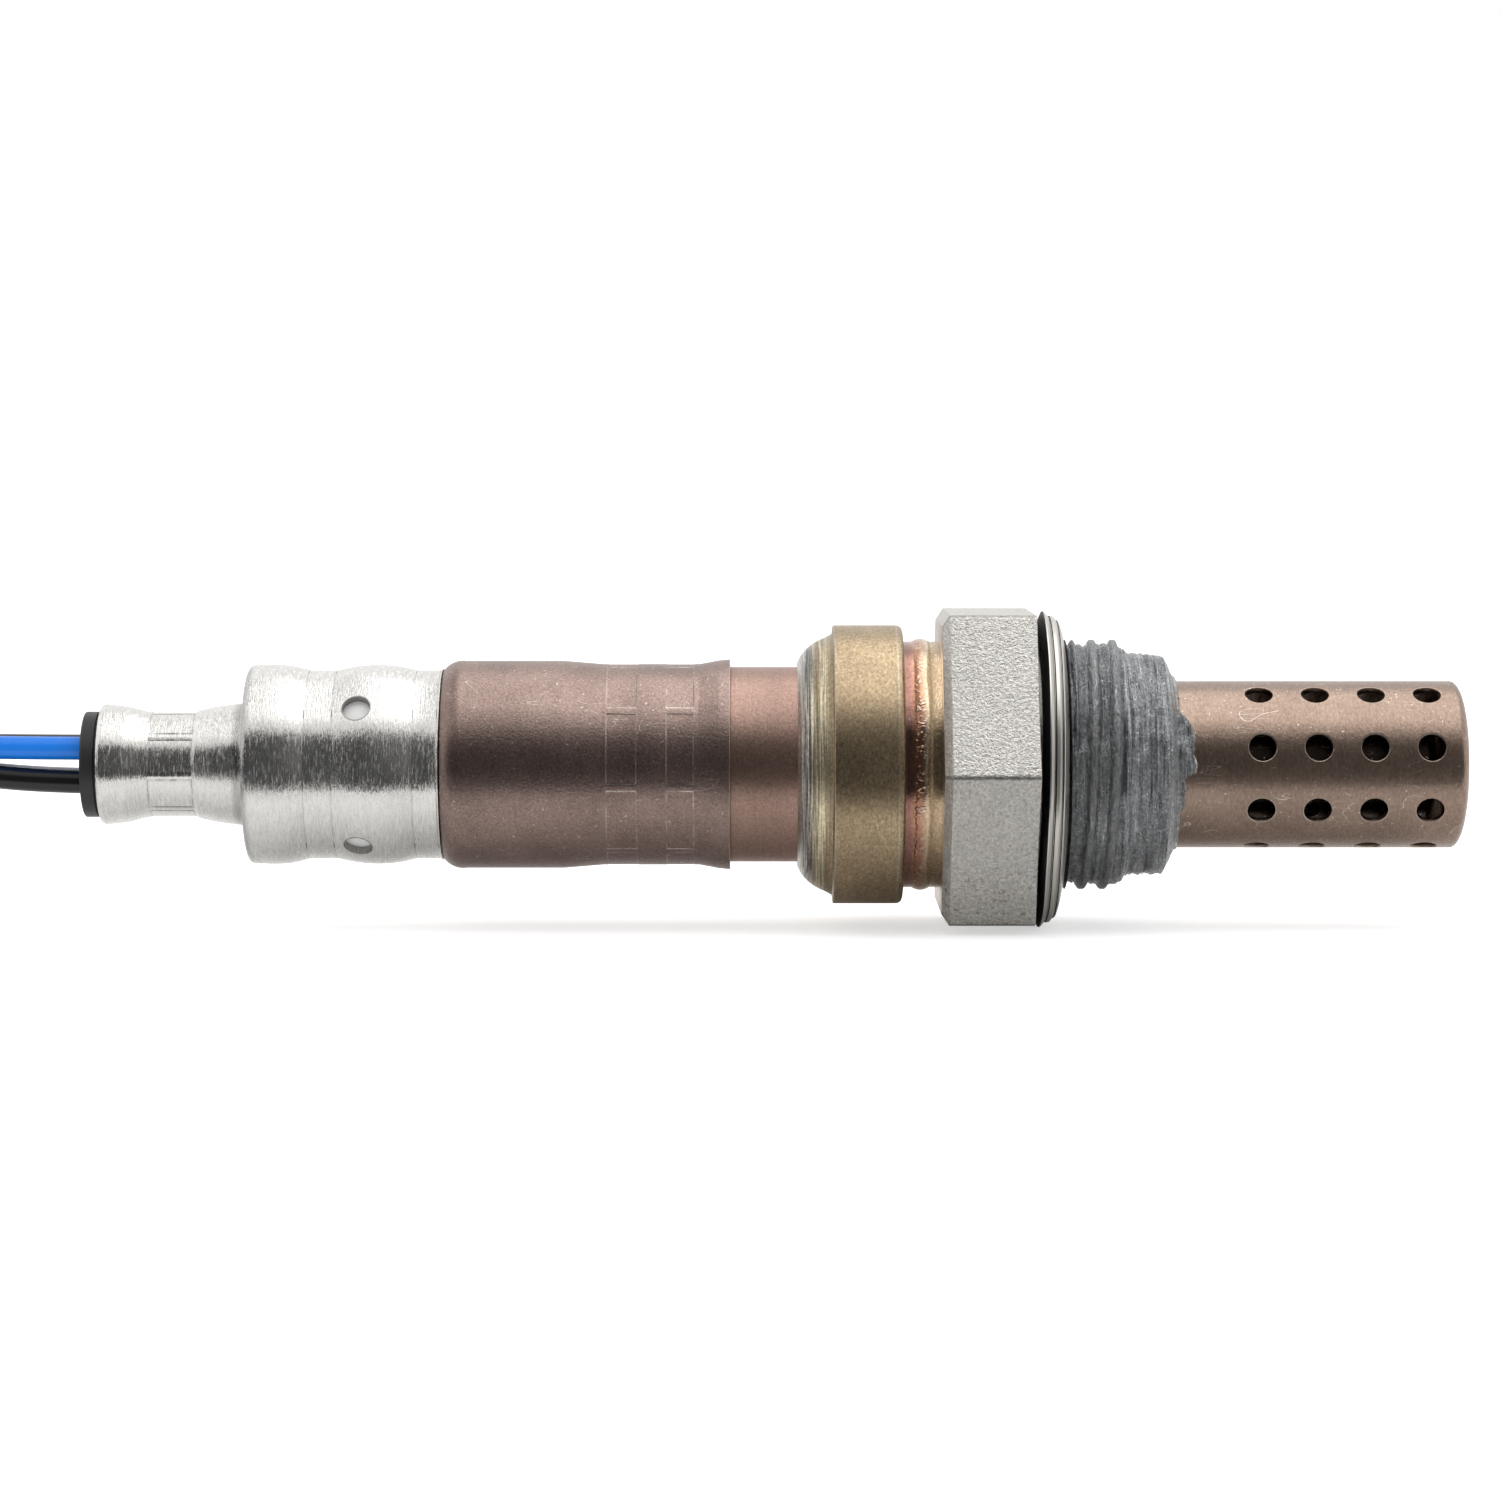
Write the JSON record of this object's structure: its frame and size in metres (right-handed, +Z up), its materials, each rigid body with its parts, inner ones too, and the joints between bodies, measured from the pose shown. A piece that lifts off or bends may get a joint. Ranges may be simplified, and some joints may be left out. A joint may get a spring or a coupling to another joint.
{
  "type": "oxygen sensor",
  "caption": "Heated exhaust oxygen sensor with a perforated tip, threaded nose, sealing ring, hexagon, crimped steel covers and folded leads that end in a plug.",
  "frame": {"origin": "on the sensor's axis, in the hexagon's front face where the sealing ring seats", "axes": "+X along the sensor's axis towards the perforated tip, +Z up from the surface the sensor lies on, +Y away from the viewer"},
  "size_m": [0.2255, 0.0253, 0.0225],
  "materials": {
    "shell_steel": "satin turned stainless steel with a fine speckle, brassy on the collar",
    "ring_steel": "bright folded stainless sheet",
    "tube_steel": "bronze-brown heat tint, bright at the hole rims",
    "cover_steel": "satin stainless steel brushed round the axis",
    "cover_steel_tinted": "stainless steel with a copper heat tint",
    "sleeve_steel": "brown oxide with bright scratches",
    "element_ceramic": "white fired ceramic",
    "heater_ceramic": "fired ceramic",
    "powder": "pressed mineral powder",
    "insulator_ceramic": "fired ceramic",
    "filter_white": "porous white film",
    "grommet_rubber": "smooth black rubber",
    "contact_metal": "nickel-plated strip",
    "paste": "dark grey metallic paste",
    "lead_blue": "smooth glossy insulation",
    "lead_black": "smooth glossy insulation",
    "lead_white": "smooth glossy insulation",
    "lead_coil": "bundle of the four leads",
    "tie_plastic": "black nylon",
    "plug_plastic": "dark grey glass-filled plastic",
    "retainer_plastic": "red-brown plastic",
    "seal_rubber": "orange silicone rubber"
  },
  "bodies": {
    "root": {"shell": "shell_steel", "sealing_ring": "ring_steel", "outer_protection_tube": "tube_steel", "inner_protection_tube": "tube_steel", "sensing_element": "element_ceramic", "seat_packing": "ring_steel", "heater_rod": "heater_ceramic", "powder_seal": "powder", "shell_bush": "insulator_ceramic", "crimp_ring": "ring_steel", "main_cover": "cover_steel_tinted", "heat_sleeve": "sleeve_steel", "filter_cover": "cover_steel", "filter_membrane": "filter_white", "grommet": "grommet_rubber", "rear_insulator": "insulator_ceramic", "insulator_spring": "contact_metal", "inner_contact": "contact_metal", "outer_contact": "contact_metal", "heater_contact_back": "contact_metal", "heater_contact_front": "contact_metal", "blue_terminal": "contact_metal", "black_terminal_back": "contact_metal", "black_terminal_front": "contact_metal", "white_terminal": "contact_metal", "anti_seize_paste": "paste", "blue_lead": "lead_blue", "black_lead_back": "lead_black", "black_lead_front": "lead_black", "white_lead": "lead_white", "blue_lead_tail": "lead_blue", "black_lead_back_tail": "lead_black", "black_lead_front_tail": "lead_black", "white_lead_tail": "lead_white", "lead_coil": "lead_coil", "coil_tie": "tie_plastic", "plug_housing": "plug_plastic", "plug_ring_seal": "seal_rubber", "plug_retainer": "retainer_plastic", "blue_seal": "seal_rubber", "black_seal_back": "seal_rubber", "black_seal_front": "seal_rubber", "white_seal": "seal_rubber", "blue_socket": "contact_metal", "black_socket_back": "contact_metal", "black_socket_front": "contact_metal", "white_socket": "contact_metal"}
  },
  "joints": []
}
